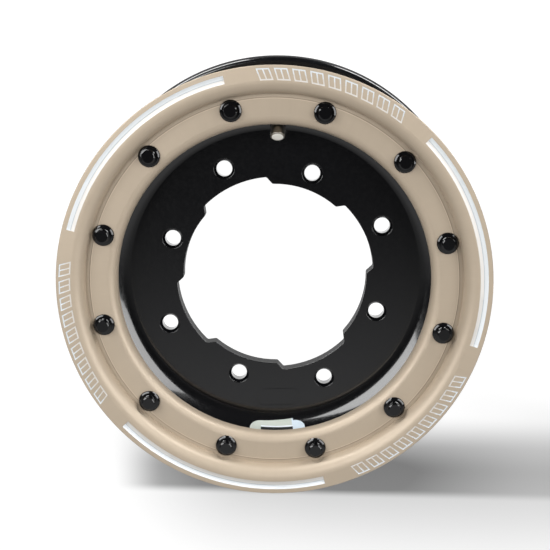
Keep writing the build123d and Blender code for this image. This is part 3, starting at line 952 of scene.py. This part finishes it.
class WHEEL_OT_wall_label(bpy.types.Operator):
    """Stick the small blank label in the bowl"""

    bl_idname = "wheel.wall_label"
    bl_label = "Wall label"

    def execute(self, context):
        colours = context.scene.wheel_colours
        sizes = context.scene.wheel_sizes
        half_length = sizes.label_length / 2
        half_width = sizes.label_width / 2
        step = half_length * 0.6
        slope_drop, step_drop, step_cut = 1.8 * MM, 1.5 * MM, 0.1 * MM
        rounding, film, lift = 6.2 * MM, 0.14 * MM, 0.04 * MM
        columns, rows = 24, 10
        middle = radians(272.1)
        arc = sizes.bowl_start + 6 * MM
        bpy.ops.object.select_all(action="DESELECT")
        bpy.ops.mesh.primitive_plane_add(size=1.0, location=(0, 0, 0))
        label = bpy.context.object
        label.name = "wall_label"
        bpy.ops.object.mode_set(mode="EDIT")
        bpy.ops.transform.resize(value=(2 * half_length, 2 * half_width, 1))
        bpy.ops.mesh.bevel(offset=rounding, segments=8, affect="VERTICES")
        cuts = [-half_length + 2 * half_length * cut / columns for cut in range(1, columns)]
        cut_across(Vector((1, 0, 0)), cuts + [step - step_cut, step + step_cut])
        cuts = [-half_width + 2 * half_width * cut / rows for cut in range(1, rows)]
        cut_across(Vector((0, 1, 0)), cuts)
        bpy.ops.object.mode_set(mode="OBJECT")
        for vertex in label.data.vertices:
            across, up = vertex.co.x, vertex.co.y
            drop = step_drop
            if across < step:
                drop = slope_drop * (step - across) / (step + half_length)
            raised = up - drop * max(0.0, up) / half_width
            run = sizes.label_foot + half_width - raised
            radius, height = wall_point(sizes, run, lift)
            turn = middle + across / arc
            vertex.co = (radius * cos(turn), radius * sin(turn), height)
        shell = label.modifiers.new("film", "SOLIDIFY")
        shell.thickness = film
        shell.offset = 1.0
        bpy.ops.object.modifier_apply(modifier=shell.name)
        bpy.ops.object.shade_smooth_by_angle(angle=radians(40))
        dress(label, label_finish(colours, shared_effects()), "wheel")
        return {"FINISHED"}


class WHEEL_OT_studio(bpy.types.Operator):
    """Make the floor, the lamps, the world and the camera"""

    bl_idname = "wheel.studio"
    bl_label = "Studio"

    def execute(self, context):
        settings = context.scene.wheel_studio
        make_floor()
        make_world(context.scene, settings)
        make_lamps(settings)
        make_camera(context.scene, settings, context.scene.wheel_sizes.disc_front)
        return {"FINISHED"}


def painted_floor_shadow(tree, place, x, y):
    """How much the floor's glow is lowered for the camera: a painted shadow band and a painted
    contact shadow at the wheel's foot.
    """
    edge_depth, core_depth, lower_depth, close_depth = 0.41, 0.08, 0.13, 0.30
    halo_depth, contact_depth = 0.16, 0.75
    # Each fade is 0 at the first place along its axis and 1 at the second.
    fades = (
        ("start", y, -0.130, -0.160),
        ("edge_left", x, -0.160, -0.010),
        ("edge_low", y, -0.300, -0.170),
        ("close_right", x, 0.220, 0.040),
        ("close_low", y, -0.140, -0.180),
        ("lower", y, -0.150, -0.180),
        ("core_left", x, -0.130, -0.085),
        ("core_low", y, -0.2025, -0.194),
        ("halo_right", x, 0.130, 0.240),
        ("halo_low", y, -0.100, -0.135),
        ("ended", x, 0.420, 0.250),
    )
    fade = {
        name: ramp_between(tree, axis, none, full, (-1100, -640 - 160 * row))
        for row, (name, axis, none, full) in enumerate(fades)
    }
    edge = fold(
        tree, "MULTIPLY", (-880, -640), fade["edge_left"], fade["edge_low"], edge_depth
    )
    close = fold(
        tree, "MULTIPLY", (-880, -1120), fade["close_right"], fade["close_low"], close_depth
    )
    lower = math_node(tree, "MULTIPLY", (-880, -1440), fade["lower"], lower_depth)
    depth = fold(tree, "ADD", (-560, -1120), lower, close, core_depth)
    core = fold(tree, "MULTIPLY", (-880, -1600), fade["core_left"], fade["core_low"], depth)
    band = math_node(tree, "ADD", (-500, -900), edge, core)
    band = math_node(tree, "MULTIPLY", (-400, -800), fade["start"], band)
    above = math_node(tree, "SUBTRACT", (-880, -1760), 1.0, fade["start"])
    halo = fold(
        tree, "MULTIPLY", (-880, -1920), fade["halo_right"], fade["halo_low"], above, halo_depth
    )
    painted_shadow = math_node(tree, "ADD", (-340, -1000), band, halo)
    painted_shadow = math_node(tree, "MULTIPLY", (-240, -1000), painted_shadow, fade["ended"])
    # A painted contact shadow round the wheel's foot.
    foot = add_node(tree, "ShaderNodeVectorMath", (-1300, -2560), operation="DISTANCE")
    tree.links.new(place, foot.inputs[0])
    foot.inputs[1].default_value = (0, -0.030, 0)  # the middle of the contact shadow
    contact = ramp_between(tree, foot.outputs["Value"], 0.166, 0.140, (-1100, -2560))
    contact = math_node(tree, "MULTIPLY", (-880, -2560), contact, contact_depth)
    return math_node(tree, "MAXIMUM", (-140, -1100), painted_shadow, contact)


def make_floor():
    """A white floor that shows the camera pure white, save where a painted shadow lowers its glow
    and lets the wheel's own shadow show.
    """
    hidden_radius = 0.125
    floor_level = 0.8
    bpy.ops.object.select_all(action="DESELECT")
    bpy.ops.mesh.primitive_plane_add(size=12.0, location=(0, 0, CAD_BOX[0][2]))
    floor = bpy.context.object
    floor.name = "floor"
    material = bpy.data.materials.new("floor")
    material.use_nodes = True
    tree = material.node_tree
    tree.nodes.clear()
    diffuse = add_node(tree, "ShaderNodeBsdfDiffuse", (-200, 0))
    diffuse.inputs["Color"].default_value = (0.3, 0.3, 0.3, 1)
    glow = add_node(tree, "ShaderNodeEmission", (-200, -160))
    glow.inputs["Color"].default_value = (1, 1, 1, 1)
    place = add_node(tree, "ShaderNodeTexCoord", (-1500, -300))
    parts = add_node(tree, "ShaderNodeSeparateXYZ", (-1300, -700))
    length = add_node(tree, "ShaderNodeVectorMath", (-1300, -300), operation="LENGTH")
    for node in (parts, length):
        tree.links.new(place.outputs["Object"], node.inputs[0])
    reach = length.outputs["Value"]
    under = math_node(tree, "LESS_THAN", (-1100, -300), reach, hidden_radius)
    # What the camera sees: white under the wheel and far out, with a painted shadow between.
    painted_shadow = painted_floor_shadow(tree, place.outputs["Object"], *parts.outputs[:2])
    far = ramp_between(tree, reach, 0.34, 0.50, (-1100, -2720))
    glow_with_painted_shadow = math_node(tree, "SUBTRACT", (-860, -500), floor_level, painted_shadow)
    for_camera = fold(tree, "MAXIMUM", (-700, -300), under, far, glow_with_painted_shadow)
    path = add_node(tree, "ShaderNodeLightPath", (-900, 0))
    seen = math_node(tree, "MULTIPLY", (-400, -100), path.outputs["Is Camera Ray"], for_camera)
    # What the wheel mirrors: white under it and beyond a dark ring.
    glossy, through = path.outputs["Is Glossy Ray"], path.outputs["Is Transmission Ray"]
    mirrored = math_node(tree, "MAXIMUM", (-700, -120), glossy, through)
    beyond = ramp_between(tree, reach, 0.16, 0.30, (-1100, -460))
    bright = math_node(tree, "MAXIMUM", (-560, -460), under, beyond)
    reflected = math_node(tree, "MULTIPLY", (-400, -260), mirrored, bright)
    strength = math_node(tree, "MAXIMUM", (-300, -200), seen, reflected)
    tree.links.new(strength, glow.inputs["Strength"])
    total = add_node(tree, "ShaderNodeAddShader", (0, 0))
    tree.links.new(diffuse.outputs[0], total.inputs[0])
    tree.links.new(glow.outputs[0], total.inputs[1])
    # Clear from below, so that views from there show the wheel.
    side = add_node(tree, "ShaderNodeNewGeometry", (0, -200))
    clear = add_node(tree, "ShaderNodeBsdfTransparent", (0, -400))
    sided = add_node(tree, "ShaderNodeMixShader", (200, 0))
    tree.links.new(side.outputs["Backfacing"], sided.inputs[0])
    tree.links.new(total.outputs[0], sided.inputs[1])
    tree.links.new(clear.outputs[0], sided.inputs[2])
    leave = add_node(tree, "ShaderNodeOutputMaterial", (400, 0))
    tree.links.new(sided.outputs[0], leave.inputs["Surface"])
    floor.data.materials.append(material)


def make_world(scene, settings):
    """A dim room, lighter on the side below the wheel in the picture."""
    fade_start, fade_end = -0.12, -0.36
    world = bpy.data.worlds.new("studio")
    world.use_nodes = True
    tree = world.node_tree
    tree.nodes.clear()
    place = add_node(tree, "ShaderNodeTexCoord", (-1400, 0))
    parts = add_node(tree, "ShaderNodeSeparateXYZ", (-1200, -120))
    tree.links.new(place.outputs["Generated"], parts.inputs[0])
    front = ramp_between(tree, parts.outputs[1], fade_start, fade_end, (-1000, -300))
    front = math_node(tree, "MULTIPLY", (-800, -300), front, settings.front_level)
    level = math_node(tree, "ADD", (-640, -200), front, settings.room_level)
    path = add_node(tree, "ShaderNodeLightPath", (-640, -400))
    strength = mix_value(tree, path.outputs["Is Camera Ray"], level, 1.0, (-140, 0))
    background = add_node(tree, "ShaderNodeBackground", (60, 0))
    background.inputs["Color"].default_value = (1, 1, 1, 1)
    tree.links.new(strength, background.inputs["Strength"])
    leave = add_node(tree, "ShaderNodeOutputWorld", (260, 0))
    tree.links.new(background.outputs[0], leave.inputs["Surface"])
    scene.world = world


def add_soft_box(name, azimuth, reach, height, lean, width, length, level):
    """A soft box beyond the wheel's side, turned to it, with its length up from the floor."""
    turn, tilt = radians(azimuth), radians(lean)
    back = Vector((cos(turn) * cos(tilt), sin(turn) * cos(tilt), sin(tilt)))
    along = Vector((-cos(turn) * sin(tilt), -sin(turn) * sin(tilt), cos(tilt)))
    pose = Matrix((along.cross(back), along, back)).transposed().to_4x4()
    pose.translation = Vector((reach * cos(turn), reach * sin(turn), height))
    data = bpy.data.lights.new(name, "AREA")
    data.shape = "RECTANGLE"
    data.size, data.size_y = width, length
    data.energy = level * pi * width * length
    lamp = bpy.data.objects.new(name, data)
    lamp.matrix_world = pose
    bpy.context.scene.collection.objects.link(lamp)


def make_lamps(settings):
    """Two large soft boxes on either side of the camera and two low ones beyond the valve."""
    # Azimuth in degrees, reach and height in metres, lean in degrees, then width and length.
    left, right, top = settings.left_box_level, settings.right_box_level, settings.top_box_level
    add_soft_box("left_box", 151.0, 0.739, 0.946, 52.0, 0.64, 0.87, left)
    add_soft_box("right_box", 16.5, 0.77, 1.16, 0.0, 0.69, 1.32, right)
    add_soft_box("left_top_box", 121.0, 1.164, 0.29, 14.0, 0.80, 0.28, top)
    add_soft_box("right_top_box", 53.0, 1.164, 0.29, 14.0, 0.80, 0.28, top)


def make_camera(scene, settings, aim_height):
    """The photograph's view, straight down onto the wheel's face and a little to one side."""
    azimuth = radians(settings.camera_azimuth)
    elevation = radians(settings.camera_elevation)
    back = Vector((sin(azimuth) * cos(elevation), sin(elevation), cos(azimuth) * cos(elevation)))
    right = Vector((0, 1, 0)).cross(back).normalized()
    up = back.cross(right)
    pose = Matrix((right, up, back)).transposed().to_4x4()
    pose.translation = back * settings.camera_distance + Vector((0, 0, aim_height))
    data = bpy.data.cameras.new("camera")
    data.lens = settings.camera_lens
    data.sensor_width = 36.0
    camera = bpy.data.objects.new("camera", data)
    camera.matrix_world = Matrix.Rotation(radians(settings.camera_roll), 4, "Z") @ pose
    scene.collection.objects.link(camera)
    scene.camera = camera


class WHEEL_PT_sidebar(bpy.types.Panel):
    """The wheel's tools in the sidebar."""

    bl_idname = "WHEEL_PT_sidebar"
    bl_label = "Beadlock Wheel"
    bl_space_type = "VIEW_3D"
    bl_region_type = "UI"
    bl_category = "Wheel"

    def draw(self, context):
        for step in STEPS:
            self.layout.operator(step.bl_idname)


GROUPS = (WheelColours, WheelSizes, StudioSettings)
STEPS = (
    WHEEL_OT_finishes,
    WHEEL_OT_weld_beads,
    WHEEL_OT_flange_bolts,
    WHEEL_OT_wall_label,
    WHEEL_OT_studio,
)


def register():
    for group in (*GROUPS, *STEPS, WHEEL_PT_sidebar):
        bpy.utils.register_class(group)
    bpy.types.Scene.wheel_colours = bpy.props.PointerProperty(type=WheelColours)
    bpy.types.Scene.wheel_sizes = bpy.props.PointerProperty(type=WheelSizes)
    bpy.types.Scene.wheel_studio = bpy.props.PointerProperty(type=StudioSettings)


def unregister():
    del bpy.types.Scene.wheel_colours
    del bpy.types.Scene.wheel_sizes
    del bpy.types.Scene.wheel_studio
    for group in reversed((*GROUPS, *STEPS, WHEEL_PT_sidebar)):
        bpy.utils.unregister_class(group)


def main():
    """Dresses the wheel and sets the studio."""
    register()
    bpy.context.scene.view_settings.view_transform = "Standard"
    bpy.ops.wheel.finishes()
    bpy.ops.wheel.weld_beads()
    bpy.ops.wheel.flange_bolts()
    bpy.ops.wheel.wall_label()
    bpy.ops.wheel.studio()


if __name__ == "__main__":
    main()
